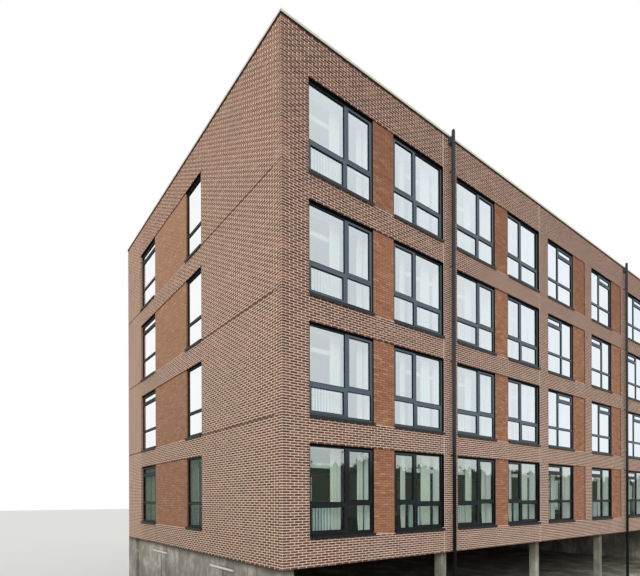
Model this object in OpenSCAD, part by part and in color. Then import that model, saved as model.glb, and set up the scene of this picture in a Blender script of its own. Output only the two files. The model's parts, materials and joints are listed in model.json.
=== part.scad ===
// Brick apartment block: four storeys of paired windows and warm brick panels over an open parking level.
// All sizes are in millimetres. X runs along the long walls, the front wall faces -Y and Z points up.
// The origin is on the ground, under the middle of the plan.

/* [Long wall] */
// Brick pier between the near corner and the first window
corner_pier_w = 828; // [600:1:1500]
// Width of a window in the long walls
window_w = 2292; // [1900:1:2600]
// Brick panel between the two windows of a pair
pair_panel_w = 828; // [400:1:1400]
// Brick pier that follows a pair of windows
pair_pier_w = 708; // [500:1:1400]
// Brick panel beside a single window
single_panel_w = 1128; // [500:1:1800]
// Brick pier after the first of two single windows
narrow_pier_w = 660; // [400:1:1400]
// Brick pier after the second of two single windows
wide_pier_w = 900; // [600:1:1500]

/* [End wall] */
// Plain brickwork between the near corner and the slim window
end_field_w = 4668; // [3000:1:6000]
// Width of the slim window
slim_window_w = 1332; // [900:1:1800]
// Brick panel between the two windows
end_panel_w = 3228; // [1500:1:4500]
// Width of the broad window
broad_window_w = 1812; // [1200:1:2400]
// Plain brickwork between the broad window and the far corner
end_tail_w = 1908; // [1300:1:3000]

/* [Storeys] */
// Height from one storey's windows to the next
storey_h = 3067; // [2800:1:3400]
// Height of a window opening
window_h = 2400; // [2000:1:2450]
// Brickwork under the lowest windows
base_band_h = 733; // [700:1:1200]
// Brickwork above the highest windows
top_band_h = 1133; // [1000:1:1600]
// Height of a window opening above its floor
sill_above_floor = 183; // [100:1:280]

/* [Walls and slabs] */
// Thickness of the outer leaf of facing brick
brick_leaf_t = 108; // [100:1:140]
// Thickness of the insulated concrete leaf behind the brick
inner_leaf_t = 342; // [200:1:450]
// How far the warm brick panels lie behind the wall face
panel_recess = 30; // [10:1:60]
// Thickness of each floor between storeys
floor_t = 300; // [200:1:360]
// Thickness of the roof slab
roof_slab_t = 300; // [200:1:360]
// Clear height from the top windows to the roof slab
ceiling_above_window = 184; // [50:1:240]
// Thickness of the insulation and membrane on the roof
roof_cover_t = 280; // [100:1:320]
// Width of the sealed movement joints in the brickwork
joint_w = 14; // [8:1:25]
// Depth of the movement joints
joint_depth = 16; // [8:1:30]
// How far the sealant lies behind the wall face
sealant_recess = 3; // [1:1:6]
// Distance of the upright joint in the end wall from the corner
end_joint_from_corner = 346; // [150:1:600]

/* [Parking level] */
// Clear height of the open parking level
parking_h = 2250; // [2000:1:3000]
// Thickness of the ground slab
base_slab_t = 200; // [150:1:400]
// Thickness of the concrete walls
parking_wall_t = 300; // [200:1:400]
// How far the concrete walls lie behind the brick face
parking_wall_recess = 100; // [40:1:160]
// Length of the end wall's far part that is flush with the brick
flush_wall_w = 1150; // [600:1:1800]
// Width of a square column
column_w = 260; // [200:1:500]
// How far the columns lie behind the brick face
column_recess = 300; // [150:1:800]

/* [Windows] */
// How far the frames lie behind the wall face
frame_recess = 80; // [60:1:95]
// Depth of the frames
frame_depth = 75; // [60:1:120]
// Face width of the outer frame
frame_face = 58; // [40:1:90]
// Face width of the mullion
mullion_face = 80; // [50:1:120]
// Face width of the transom
transom_face = 70; // [50:1:120]
// Face width of an opening sash
sash_face = 50; // [35:1:80]
// How far an opening sash stands proud of its frame
sash_proud = 10; // [4:1:18]
// Distance from the jamb to the middle of the mullion, on the narrow side
narrow_light_w = 985; // [700:1:1140]
// Distance from the foot of the opening to the middle of the transom
low_light_h = 860; // [600:1:1100]
// Distance from the head of the opening to the middle of the vent's bar
vent_h = 385; // [280:1:550]
// Thickness of the glazing units
glass_t = 24; // [16:1:44]
// How far the glass lies behind the face of its frame
glass_recess = 22; // [10:1:30]

/* [Sills] */
// Height of a sill at the frame
sill_h = 52; // [35:1:80]
// Height of a sill's front edge above the foot of the opening
sill_nose_h = 42; // [25:1:50]
// How far a sill's drip edge hangs below the foot of the opening
sill_hang = 35; // [10:1:60]
// Thickness of the drip edge
sill_drip_t = 12; // [4:1:20]
// How far a sill stands proud of the wall face
sill_proud = 40; // [10:1:60]

/* [Roof edge] */
// Thickness of the coping above the wall
coping_t = 22; // [10:1:60]
// How far the coping's lips hang below the top of the wall
coping_lip_h = 40; // [20:1:120]
// Gap between a lip and the wall
coping_gap = 22; // [10:1:40]
// Thickness of a lip
coping_lip_t = 4; // [2:1:10]
// Half the open joint where two lengths of coping meet at a corner
mitre_gap = 2; // [1:0.5:5]

/* [Rainwater] */
// Diameter of the downpipes
pipe_d = 110; // [75:1:160]
// Gap between a downpipe and the wall
pipe_gap = 72; // [40:1:120]
// Distance of a downpipe from the edge of its pier
pipe_from_edge = 354; // [200:1:500]
// How far a downpipe rises above the top of the wall
pipe_rise = 145; // [80:1:400]
// Height of a downpipe's open foot above the ground
pipe_foot_gap = 20; // [10:1:200]
// Height of the tapered cap of a downpipe
pipe_cap_h = 40; // [20:1:80]
// Height of a bracket's ring
bracket_h = 30; // [15:1:60]
// Thickness of a bracket's ring
bracket_t = 5; // [3:1:12]
// Width of the box that joins the roof to a downpipe
outlet_w = 180; // [120:1:240]
// Height of that box
outlet_h = 200; // [120:1:300]
// Distance of that box below the top of the wall
outlet_drop = 90; // [60:1:300]

/* [Wall lights] */
// Length of a wall light
light_len = 1480; // [800:1:1800]
// Diameter of a wall light
light_d = 70; // [40:1:90]
// Gap between a wall light and the concrete
light_gap = 12; // [5:1:20]
// Distance from the near corner to the first wall light
light_from_corner = 2650; // [1500:1:3600]
// Distance from one wall light to the next
light_pitch = 5400; // [4000:1:6500]
// Distance of a wall light below the brickwork
light_drop = 340; // [200:1:800]
// Diameter of the conduit under a wall light
conduit_d = 25; // [16:1:32]

/* [Hidden] */

$fn = 48;
storeys = 4;
pairs = 2;
singles = 4;
lights = 2;
wall_t = brick_leaf_t + inner_leaf_t;

// Plan of the long wall, measured from the near corner
pair_pitch = 2 * window_w + pair_panel_w + pair_pier_w;
first_single_pitch = window_w + single_panel_w + narrow_pier_w;
second_single_pitch = window_w + single_panel_w + wide_pier_w;
singles_start = corner_pier_w + pairs * pair_pitch;
wall_len = singles_start + singles / 2 * (first_single_pitch + second_single_pitch);
pair_hole_w = 2 * window_w + pair_panel_w;
single_hole_w = window_w + single_panel_w;
function pair_x(i) = corner_pier_w + i * pair_pitch;
function single_x(i) = singles_start + floor(i / 2) * (first_single_pitch + second_single_pitch)
    + (i % 2) * first_single_pitch;

// Plan of the end wall, measured from the near corner
slim_x = end_field_w;
end_hole_w = slim_window_w + end_panel_w + broad_window_w;
broad_x = slim_x + slim_window_w + end_panel_w;
end_len = slim_x + end_hole_w + end_tail_w;

// Levels above the ground
brick_z = base_slab_t + parking_h;
top_z = brick_z + base_band_h + (storeys - 1) * storey_h + window_h + top_band_h;
function hole_z(storey) = brick_z + base_band_h + storey * storey_h;
function floor_z(storey) = hole_z(storey) - sill_above_floor;
roof_slab_z = hole_z(storeys - 1) + window_h + ceiling_above_window;
roof_cover_z = roof_slab_z + roof_slab_t;

// Bands of brickwork run between the storeys' windows, from the lowest to the roof edge
bands = storeys + 1;
function band_z(i) = i == 0 ? brick_z : hole_z(i - 1) + window_h;
function band_h(i) = i == 0 ? base_band_h : i == storeys ? top_band_h : storey_h - window_h;

// Windows
frame_foot = sill_h;
frame_back = frame_recess + frame_depth;
low_bar_z = low_light_h - transom_face / 2;
vent_bar_z = window_h - vent_h - transom_face / 2;
head_z = window_h - frame_face;

// Rainwater
pipe_off = pipe_gap + pipe_d / 2;
pipe_places = [pair_x(0) + pair_hole_w + pipe_from_edge, single_x(1) + single_hole_w + pipe_from_edge];

// A wall is drawn with X along it, Y inwards from its face and Z up, and then set on its side of the plan.
module on_front() translate([-wall_len / 2, -end_len / 2, 0]) children();
module on_back() rotate([0, 0, 180]) on_front() children();
module on_left() translate([-wall_len / 2, -end_len / 2, 0]) mirror([1, -1, 0]) children();
module on_right() rotate([0, 0, 180]) on_left() children();

// A flat outline in the wall's plane, from one depth to another
module upright(from, to) {
    translate([0, to, 0])
        rotate([90, 0, 0])
            linear_extrude(height = to - from)
                children();
}

module rect(x, z, w, h) translate([x, z]) square([w, h]);

// A block from the concrete work, given by its corner and size
module block(x, y, z, w, d, h) translate([x, y, z]) cube([w, d, h]);

module base_slab() {
    color("#8f8c84")
        block(-wall_len / 2, -end_len / 2, 0, wall_len, end_len, base_slab_t);
}

// The end wall of the parking level, with its far part flush with the brick
module parking_end_wall() {
    reach = end_len - parking_wall_recess;
    block(parking_wall_recess, parking_wall_recess, base_slab_t,
        reach - flush_wall_w, parking_wall_t, parking_h);
    block(end_len - flush_wall_w, 0, base_slab_t,
        flush_wall_w, parking_wall_recess + parking_wall_t, parking_h);
}

module parking_left_wall() color("#9b978c") on_left() parking_end_wall();

module parking_right_wall() color("#9b978c") on_right() parking_end_wall();

module parking_back_wall() {
    inset = parking_wall_recess + parking_wall_t;
    color("#918d83")
        on_back()
            block(inset, parking_wall_recess, base_slab_t, wall_len - 2 * inset, parking_wall_t, parking_h);
}

module parking_columns() {
    pier_mid = pair_x(0) + pair_hole_w + pair_pier_w / 2;
    color("#a5a198")
        on_front()
            for (i = [0 : 3])
                block(pier_mid + i * pair_pitch - column_w / 2, column_recess, base_slab_t,
                    column_w, column_w, parking_h);
}

// A slab that fills the plan between walls that are so thick
module slab(inset, z, t) {
    block(-wall_len / 2 + inset, -end_len / 2 + inset, z, wall_len - 2 * inset, end_len - 2 * inset, t);
}

module deck_slab() color("#a19d94") slab(brick_leaf_t, brick_z, floor_z(0) - brick_z);

module floor_slab(storey) color("#b7b3aa") slab(wall_t, floor_z(storey) - floor_t, floor_t);

module roof_slab() color("#b7b3aa") slab(wall_t, roof_slab_z, roof_slab_t);

module roof_covering() color("#4a4d50") slab(wall_t, roof_cover_z, roof_cover_t);

// Outlines of the openings in a long wall
module long_holes_2d() {
    for (storey = [0 : storeys - 1]) {
        for (i = [0 : pairs - 1])
            rect(pair_x(i), hole_z(storey), pair_hole_w, window_h);
        for (i = [0 : singles - 1])
            rect(single_x(i), hole_z(storey), single_hole_w, window_h);
    }
}

module long_panels_2d() {
    for (storey = [0 : storeys - 1]) {
        for (i = [0 : pairs - 1])
            rect(pair_x(i) + window_w, hole_z(storey), pair_panel_w, window_h);
        for (i = [0 : singles - 1])
            rect(single_x(i) + window_w, hole_z(storey), single_panel_w, window_h);
    }
}

module long_piers_2d() {
    for (storey = [0 : storeys - 1]) {
        rect(0, hole_z(storey), corner_pier_w, window_h);
        for (i = [0 : pairs - 1])
            rect(pair_x(i) + pair_hole_w, hole_z(storey), pair_pier_w, window_h);
        for (i = [0 : singles - 1])
            rect(single_x(i) + single_hole_w, hole_z(storey), i % 2 == 0 ? narrow_pier_w : wide_pier_w, window_h);
    }
}

// The upright joints follow the jamb of each pair of windows through the brick bands
module long_joints_2d() {
    for (i = [0 : pairs - 1])
        for (band = [0 : bands - 1])
            rect(pair_x(i) + pair_hole_w - joint_w, band_z(band), joint_w, band_h(band));
}

module end_holes_2d() {
    for (storey = [0 : storeys - 1])
        rect(slim_x, hole_z(storey), end_hole_w, window_h);
}

module end_panels_2d() {
    for (storey = [0 : storeys - 1])
        rect(slim_x + slim_window_w, hole_z(storey), end_panel_w, window_h);
}

module end_piers_2d() {
    for (storey = [0 : storeys - 1]) {
        rect(brick_leaf_t, hole_z(storey), slim_x - brick_leaf_t, window_h);
        rect(slim_x + end_hole_w, hole_z(storey), end_tail_w - brick_leaf_t, window_h);
    }
}

module end_joint_2d() rect(end_joint_from_corner, brick_z, joint_w, top_z - brick_z);

// The level joints end just below the foot of the upper windows, in the plain brickwork
module end_level_joints_2d() {
    start = end_joint_from_corner + joint_w;
    for (storey = [1 : storeys - 1]) {
        rect(start, hole_z(storey) - joint_w, slim_x - start, joint_w);
        rect(slim_x + end_hole_w, hole_z(storey) - joint_w, end_tail_w - brick_leaf_t, joint_w);
    }
}

module end_joints_2d() {
    end_joint_2d();
    end_level_joints_2d();
}

module long_bands() {
    difference() {
        upright(0, brick_leaf_t)
            for (band = [0 : bands - 1])
                rect(0, band_z(band), wall_len, band_h(band));
        upright(-1, joint_depth) long_joints_2d();
    }
}

module end_bands() {
    difference() {
        upright(0, brick_leaf_t)
            for (band = [0 : bands - 1])
                rect(brick_leaf_t, band_z(band), end_len - 2 * brick_leaf_t, band_h(band));
        upright(-1, joint_depth) end_joints_2d();
    }
}

module long_piers() upright(0, brick_leaf_t) long_piers_2d();

module end_piers() {
    difference() {
        upright(0, brick_leaf_t) end_piers_2d();
        upright(-1, joint_depth) end_joint_2d();
    }
}

module front_brick_bands() color("#8f6a58") on_front() long_bands();

module back_brick_bands() color("#8f6a58") on_back() long_bands();

module left_brick_bands() color("#8f6a58") on_left() end_bands();

module right_brick_bands() color("#8f6a58") on_right() end_bands();

module front_brick_piers() color("#8a6553") on_front() long_piers();

module back_brick_piers() color("#8a6553") on_back() long_piers();

module left_brick_piers() color("#8a6553") on_left() end_piers();

module right_brick_piers() color("#8a6553") on_right() end_piers();

// The inner leaf stands on the deck slab, in bands and piers like the brick leaf
function inner_band_z(i) = max(band_z(i), floor_z(0));
function inner_band_h(i) = band_z(i) + band_h(i) - inner_band_z(i);

module inner_bands(start, end) {
    upright(brick_leaf_t, wall_t)
        for (band = [0 : bands - 1])
            rect(start, inner_band_z(band), end - start, inner_band_h(band));
}

// All of a storey's height between start and end that isn't cut out by the outlines given
module inner_piers(start, end) {
    upright(brick_leaf_t, wall_t)
        difference() {
            for (storey = [0 : storeys - 1])
                rect(start, hole_z(storey), end - start, window_h);
            children();
        }
}

module long_inner_wall() inner_bands(brick_leaf_t, wall_len - brick_leaf_t);

module end_inner_wall() inner_bands(wall_t, end_len - wall_t);

module long_inner_piers() {
    inner_piers(brick_leaf_t, wall_len - brick_leaf_t)
        difference() {
            long_holes_2d();
            long_panels_2d();
        }
}

module end_wall_inner_piers() {
    inner_piers(wall_t, end_len - wall_t)
        difference() {
            end_holes_2d();
            end_panels_2d();
        }
}

module front_inner_wall() color("#d8d5cd") on_front() long_inner_wall();

module back_inner_wall() color("#d8d5cd") on_back() long_inner_wall();

module left_inner_wall() color("#d8d5cd") on_left() end_inner_wall();

module right_inner_wall() color("#d8d5cd") on_right() end_inner_wall();

module front_inner_piers() color("#d2cfc7") on_front() long_inner_piers();

module back_inner_piers() color("#d2cfc7") on_back() long_inner_piers();

module end_inner_piers() {
    color("#d2cfc7") {
        on_left() end_wall_inner_piers();
        on_right() end_wall_inner_piers();
    }
}

module front_brick_panels() color("#a0694a") on_front() upright(panel_recess, brick_leaf_t) long_panels_2d();

module back_brick_panels() color("#a0694a") on_back() upright(panel_recess, brick_leaf_t) long_panels_2d();

module left_brick_panels() color("#a0694a") on_left() upright(panel_recess, brick_leaf_t) end_panels_2d();

module right_brick_panels() color("#a0694a") on_right() upright(panel_recess, brick_leaf_t) end_panels_2d();

// A light is one field of a window, given as [x, z, width, height, opens], inside its bars.
// Fields of a window with a mullion: the narrow field is on the right, tall above and low below.
function pair_lights(w) =
    let (bar = w - narrow_light_w, half = mullion_face / 2, low = low_bar_z - frame_foot - frame_face)
    let (tall_z = low_bar_z + transom_face, low_z = frame_foot + frame_face)
    let (wide_w = bar - half - frame_face, narrow_x = bar + half, narrow_w = w - frame_face - bar - half)
    [
        [frame_face, tall_z, wide_w, head_z - tall_z, false],
        [narrow_x, tall_z, narrow_w, head_z - tall_z, true],
        [frame_face, low_z, wide_w, low, true],
        [narrow_x, low_z, narrow_w, low, false]
    ];

// Fields of a single window: a vent tops the wide field on the left
function single_lights(w) =
    let (bar = w - narrow_light_w, half = mullion_face / 2, low = low_bar_z - frame_foot - frame_face)
    let (tall_z = low_bar_z + transom_face, low_z = frame_foot + frame_face)
    let (wide_w = bar - half - frame_face, narrow_x = bar + half, narrow_w = w - frame_face - bar - half)
    [
        [frame_face, vent_bar_z + transom_face, wide_w, head_z - vent_bar_z - transom_face, true],
        [frame_face, tall_z, wide_w, vent_bar_z - tall_z, false],
        [narrow_x, tall_z, narrow_w, head_z - tall_z, false],
        [frame_face, low_z, wide_w, low, false],
        [narrow_x, low_z, narrow_w, low, false]
    ];

// Fields of the end wall's windows, which have no mullion
function slim_lights(w) =
    let (tall_z = low_bar_z + transom_face, low_z = frame_foot + frame_face, inside = w - 2 * frame_face)
    [
        [frame_face, tall_z, inside, head_z - tall_z, false],
        [frame_face, low_z, inside, low_bar_z - low_z, false]
    ];

function broad_lights(w) =
    let (tall_z = low_bar_z + transom_face, low_z = frame_foot + frame_face, inside = w - 2 * frame_face)
    [
        [frame_face, vent_bar_z + transom_face, inside, head_z - vent_bar_z - transom_face, true],
        [frame_face, tall_z, inside, vent_bar_z - tall_z, false],
        [frame_face, low_z, inside, low_bar_z - low_z, false]
    ];

// The pane of a light, which is smaller where a sash holds it
module pane_2d(field) {
    edge = field[4] ? sash_face : 0;
    rect(field[0] + edge, field[1] + edge, field[2] - 2 * edge, field[3] - 2 * edge);
}

module field_2d(field) rect(field[0], field[1], field[2], field[3]);

// A window's frame, with the sashes of the lights that open standing proud of it
module window_frame(w, fields) {
    upright(frame_recess, frame_back)
        difference() {
            rect(0, frame_foot, w, window_h - frame_foot);
            for (field = fields)
                pane_2d(field);
        }
    for (field = fields)
        if (field[4])
            upright(frame_recess - sash_proud, frame_recess)
                difference() {
                    field_2d(field);
                    pane_2d(field);
                }
}

module window_glass(fields) {
    from = frame_recess + glass_recess;
    for (field = fields)
        upright(from, from + glass_t) pane_2d(field);
}

// Turns a window's drawing over, so that its narrow side is on the left
module handed(w, turned) {
    if (turned)
        translate([w, 0, 0])
            mirror([1, 0, 0])
                children();
    else
        children();
}

// Places what is drawn for a pair's window at both windows of each pair, the second one turned over
module at_pairs(storey) {
    for (i = [0 : pairs - 1]) {
        translate([pair_x(i), 0, hole_z(storey)])
            children();
        translate([pair_x(i) + window_w + pair_panel_w, 0, hole_z(storey)])
            handed(window_w, true)
                children();
    }
}

// Places what is drawn for a single window; the storeys take turns in which side their vent is on
module at_singles(storey) {
    for (i = [0 : singles - 1])
        translate([single_x(i), 0, hole_z(storey)])
            handed(window_w, storey % 2 == 1)
                children();
}

module long_windows() {
    for (storey = [0 : storeys - 1]) {
        at_pairs(storey) window_frame(window_w, pair_lights(window_w));
        at_singles(storey) window_frame(window_w, single_lights(window_w));
    }
}

module long_glass() {
    for (storey = [0 : storeys - 1]) {
        at_pairs(storey) window_glass(pair_lights(window_w));
        at_singles(storey) window_glass(single_lights(window_w));
    }
}

module end_windows() {
    for (storey = [0 : storeys - 1]) {
        translate([slim_x, 0, hole_z(storey)])
            window_frame(slim_window_w, slim_lights(slim_window_w));
        translate([broad_x, 0, hole_z(storey)])
            window_frame(broad_window_w, broad_lights(broad_window_w));
    }
}

module end_wall_glass() {
    for (storey = [0 : storeys - 1]) {
        translate([slim_x, 0, hole_z(storey)])
            window_glass(slim_lights(slim_window_w));
        translate([broad_x, 0, hole_z(storey)])
            window_glass(broad_lights(broad_window_w));
    }
}

module front_windows() color("#3b4348") on_front() long_windows();

module back_windows() color("#3b4348") on_back() long_windows();

module left_windows() color("#3b4348") on_left() end_windows();

module right_windows() color("#3b4348") on_right() end_windows();

module front_glass() color("#c5cfd6") on_front() long_glass();

module back_glass() color("#c5cfd6") on_back() long_glass();

module end_glass() {
    color("#c5cfd6") {
        on_left() end_wall_glass();
        on_right() end_wall_glass();
    }
}

// A sill that falls outwards from the frame and ends in a drip edge clear of the wall
module window_sill(w) {
    rotate([90, 0, 90])
        linear_extrude(height = w)
            polygon([
                [0, 0],
                [frame_back, 0],
                [frame_back, sill_h],
                [frame_recess, sill_h],
                [-sill_proud, sill_nose_h],
                [-sill_proud, -sill_hang],
                [sill_drip_t - sill_proud, -sill_hang],
                [sill_drip_t - sill_proud, 0]
            ]);
}

module long_sills() {
    for (storey = [0 : storeys - 1]) {
        at_pairs(storey) window_sill(window_w);
        at_singles(storey) window_sill(window_w);
    }
}

module end_wall_sills() {
    for (storey = [0 : storeys - 1]) {
        translate([slim_x, 0, hole_z(storey)])
            window_sill(slim_window_w);
        translate([broad_x, 0, hole_z(storey)])
            window_sill(broad_window_w);
    }
}

module front_sills() color("#474e50") on_front() long_sills();

module back_sills() color("#474e50") on_back() long_sills();

module end_sills() {
    color("#474e50") {
        on_left() end_wall_sills();
        on_right() end_wall_sills();
    }
}

// The coping's section caps the wall, and its two lips hang clear of it
module coping_section() {
    lip_off = coping_gap + coping_lip_t;
    for (x = [-lip_off, wall_t + coping_gap])
        rect(x, top_z - coping_lip_h, coping_lip_t, coping_lip_h + coping_t);
    rect(-lip_off, top_z, wall_t + 2 * lip_off, coping_t);
}

// One side's length of coping, mitred at both corners
module coping_run(len) {
    lip_off = coping_gap + coping_lip_t;
    outer = -lip_off;
    inner = wall_t + lip_off;
    intersection() {
        translate([outer, 0, 0])
            rotate([90, 0, 90])
                linear_extrude(height = len + 2 * lip_off)
                    coping_section();
        linear_extrude(height = top_z + 2 * coping_t)
            polygon([
                [outer + mitre_gap, outer],
                [len - outer - mitre_gap, outer],
                [len - inner - mitre_gap, inner],
                [inner + mitre_gap, inner]
            ]);
    }
}

module roof_coping() {
    color("#c8cac4") {
        on_front() coping_run(wall_len);
        on_back() coping_run(wall_len);
        on_left() coping_run(end_len);
        on_right() coping_run(end_len);
    }
}

module downpipe() {
    cap_z = top_z + pipe_rise - pipe_cap_h;
    translate([0, -pipe_off, pipe_foot_gap])
        cylinder(d = pipe_d, h = cap_z - pipe_foot_gap);
    translate([0, -pipe_off, cap_z])
        cylinder(d1 = pipe_d, d2 = pipe_d * 0.7, h = pipe_cap_h);
}

module downpipes() {
    color("#555a5c") {
        on_front()
            for (x = pipe_places)
                translate([x, 0, 0]) downpipe();
        on_back()
            for (x = pipe_places)
                translate([x, 0, 0]) downpipe();
    }
}

// A ring round the pipe and the arm that holds it to the wall
module pipe_bracket() {
    ring_d = pipe_d + 2 * bracket_t;
    difference() {
        union() {
            translate([0, -pipe_off, 0])
                cylinder(d = ring_d, h = bracket_h);
            block(-bracket_h / 2, -pipe_off, 0, bracket_h, pipe_off, bracket_h);
        }
        translate([0, -pipe_off, -1])
            cylinder(d = pipe_d, h = bracket_h + 2);
    }
}

module wall_brackets() {
    for (x = pipe_places)
        for (storey = [0 : storeys - 1])
            translate([x, 0, hole_z(storey) + window_h - bracket_h]) pipe_bracket();
}

module pipe_brackets() {
    color("#4a4f51") {
        on_front() wall_brackets();
        on_back() wall_brackets();
    }
}

// The box that brings the roof's water through the wall to the pipe
module roof_outlet() {
    z = top_z - outlet_drop - outlet_h;
    difference() {
        block(-outlet_w / 2, -pipe_off, z, outlet_w, pipe_off, outlet_h);
        translate([0, -pipe_off, z - 1])
            cylinder(d = pipe_d, h = outlet_h + 2);
    }
}

module roof_outlets() {
    color("#2b2e30") {
        on_front()
            for (x = pipe_places)
                translate([x, 0, 0]) roof_outlet();
        on_back()
            for (x = pipe_places)
                translate([x, 0, 0]) roof_outlet();
    }
}

module movement_joints() {
    color("#c9b09c") {
        on_front() upright(sealant_recess, joint_depth) long_joints_2d();
        on_back() upright(sealant_recess, joint_depth) long_joints_2d();
        on_left() upright(sealant_recess, joint_depth) end_joints_2d();
        on_right() upright(sealant_recess, joint_depth) end_joints_2d();
    }
}

// A tubular light on two short feet
module wall_light() {
    foot_w = light_d / 2;
    off = parking_wall_recess - light_gap - light_d / 2;
    translate([0, off, 0])
        rotate([0, 90, 0])
            cylinder(d = light_d, h = light_len);
    for (x = [light_len / 5, light_len * 4 / 5])
        block(x - foot_w / 2, off, -foot_w / 2, foot_w, parking_wall_recess - off, foot_w);
}

module wall_lights() {
    color("#b9bcbb")
        on_left()
            for (i = [0 : lights - 1])
                translate([light_from_corner + i * light_pitch, 0, brick_z - light_drop]) wall_light();
}

// A conduit runs down the concrete from the middle of each light to the ground slab
module light_conduits() {
    conduit_h = brick_z - light_drop - light_d / 2 - base_slab_t;
    color("#a9aaa6")
        on_left()
            for (i = [0 : lights - 1])
                translate([
                    light_from_corner + i * light_pitch + light_len / 2,
                    parking_wall_recess - conduit_d / 2,
                    base_slab_t
                ])
                    cylinder(d = conduit_d, h = conduit_h);
}

base_slab();
parking_left_wall();
parking_right_wall();
parking_back_wall();
parking_columns();
deck_slab();
floor_slab(1);  // floor_slab_2
floor_slab(2);  // floor_slab_3
floor_slab(3);  // floor_slab_4
roof_slab();
roof_covering();
front_brick_bands();
front_brick_piers();
back_brick_bands();
back_brick_piers();
left_brick_bands();
left_brick_piers();
right_brick_bands();
right_brick_piers();
front_inner_wall();
back_inner_wall();
left_inner_wall();
right_inner_wall();
front_inner_piers();
back_inner_piers();
end_inner_piers();
front_brick_panels();
back_brick_panels();
left_brick_panels();
right_brick_panels();
front_windows();
back_windows();
left_windows();
right_windows();
front_glass();
back_glass();
end_glass();
front_sills();
back_sills();
end_sills();
roof_coping();
downpipes();
pipe_brackets();
roof_outlets();
movement_joints();
wall_lights();
light_conduits();
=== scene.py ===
import json
import math

import bpy
import numpy as np
from bpy.props import FloatProperty, FloatVectorProperty, PointerProperty
from mathutils import Matrix, Vector

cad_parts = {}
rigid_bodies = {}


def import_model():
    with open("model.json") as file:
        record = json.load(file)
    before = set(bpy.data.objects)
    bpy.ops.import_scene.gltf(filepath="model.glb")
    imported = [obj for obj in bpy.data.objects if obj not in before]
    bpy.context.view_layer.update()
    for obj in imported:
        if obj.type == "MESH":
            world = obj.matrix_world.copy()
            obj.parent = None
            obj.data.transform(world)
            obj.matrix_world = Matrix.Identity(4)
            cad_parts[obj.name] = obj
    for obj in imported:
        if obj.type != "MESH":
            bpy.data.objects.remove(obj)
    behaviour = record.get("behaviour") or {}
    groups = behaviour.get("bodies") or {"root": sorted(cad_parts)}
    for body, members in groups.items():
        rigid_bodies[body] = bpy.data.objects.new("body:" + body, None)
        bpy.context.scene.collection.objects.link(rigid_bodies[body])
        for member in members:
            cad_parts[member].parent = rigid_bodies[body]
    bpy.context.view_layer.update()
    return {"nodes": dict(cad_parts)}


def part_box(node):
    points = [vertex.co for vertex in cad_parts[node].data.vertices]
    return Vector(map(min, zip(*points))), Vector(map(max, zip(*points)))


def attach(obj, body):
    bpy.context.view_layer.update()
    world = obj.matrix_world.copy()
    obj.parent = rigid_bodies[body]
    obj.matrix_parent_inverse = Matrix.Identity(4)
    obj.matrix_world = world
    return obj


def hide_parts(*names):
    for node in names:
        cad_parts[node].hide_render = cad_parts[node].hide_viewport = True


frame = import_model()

bl_info = {
    "name": "Brick Apartment Block",
    "version": (1, 0, 0),
    "blender": (4, 5, 0),
    "location": "View3D > Sidebar > Apartment Block",
    "description": "Dresses a four-storey brick apartment block over an open parking level",
    "category": "Add Mesh",
}

BODY = "root"
MM = 0.001
# Two edges closer than this, in metres, are one edge
SAME_EDGE = 0.03
# What is closer to a wall's end than this, in metres, stands at it
AT_END = 0.01

# Places that the frame gives
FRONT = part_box("front_brick_bands")
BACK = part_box("back_brick_bands")
HALF_LENGTH = FRONT[1].x
HALF_WIDTH = BACK[1].y
BRICK_FOOT = FRONT[0].z
BRICK_TOP = FRONT[1].z
LEAF = FRONT[1].y - FRONT[0].y
GROUND_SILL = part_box("front_windows")[0].z
FLOORS = [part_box(name)[1].z for name in ("deck_slab", "floor_slab_2", "floor_slab_3", "floor_slab_4")]
INNER_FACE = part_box("front_inner_wall")[1].y + HALF_WIDTH
OPPOSITE = {"front": "back", "left": "right"}

# Between which heights, in metres above the brickwork's foot, the end walls' painted shade and painted light
# fade, the end walls' mortar is painted darker as painted shade, and the painted shadow under the overhanging
# brick fades
END_SHADE_TOP, END_LIGHT_FOOT = 9.0, 3.0
MORTAR_SHADE_FOOT, MORTAR_SHADE_TOP = 1.0, 7.0
OVERHANG_SHADOW_FOOT, OVERHANG_SHADOW_TOP = -0.22, -0.04
# Where painted light makes an end wall paler, in metres before its far corner, and a long wall, in metres
# past its near one
FAR_CORNER_LIGHT_START, FAR_CORNER_LIGHT_END = 2.5, 1.7
FAR_LIGHT_START, FAR_LIGHT_END = 3.0, 11.0
# Between which heights the ground storey's painted shade on the metalwork fades, and the painted reflection
# in its panes, in metres above its sills
SHADE_FOOT, SHADE_TOP = 1.6, 3.6
PANE_REFLECTION_FOOT, PANE_REFLECTION_TOP = 2.4, 2.9


def hex_rgb(text):
    """Linear colour of an sRGB hex value."""
    values = [int(text[i:i + 2], 16) / 255 for i in (1, 3, 5)]
    return tuple(v / 12.92 if v <= 0.04045 else ((v + 0.055) / 1.055) ** 2.4 for v in values)


def colour(name, description, text):
    """A colour property whose default is an sRGB hex value."""
    return FloatVectorProperty(
        name=name, description=description, subtype="COLOR", size=3, min=0, max=1,
        default=hex_rgb(text))


def length(name, description, value):
    """A length property in metres."""
    return FloatProperty(name=name, description=description, unit="LENGTH", min=0, default=value)


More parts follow.
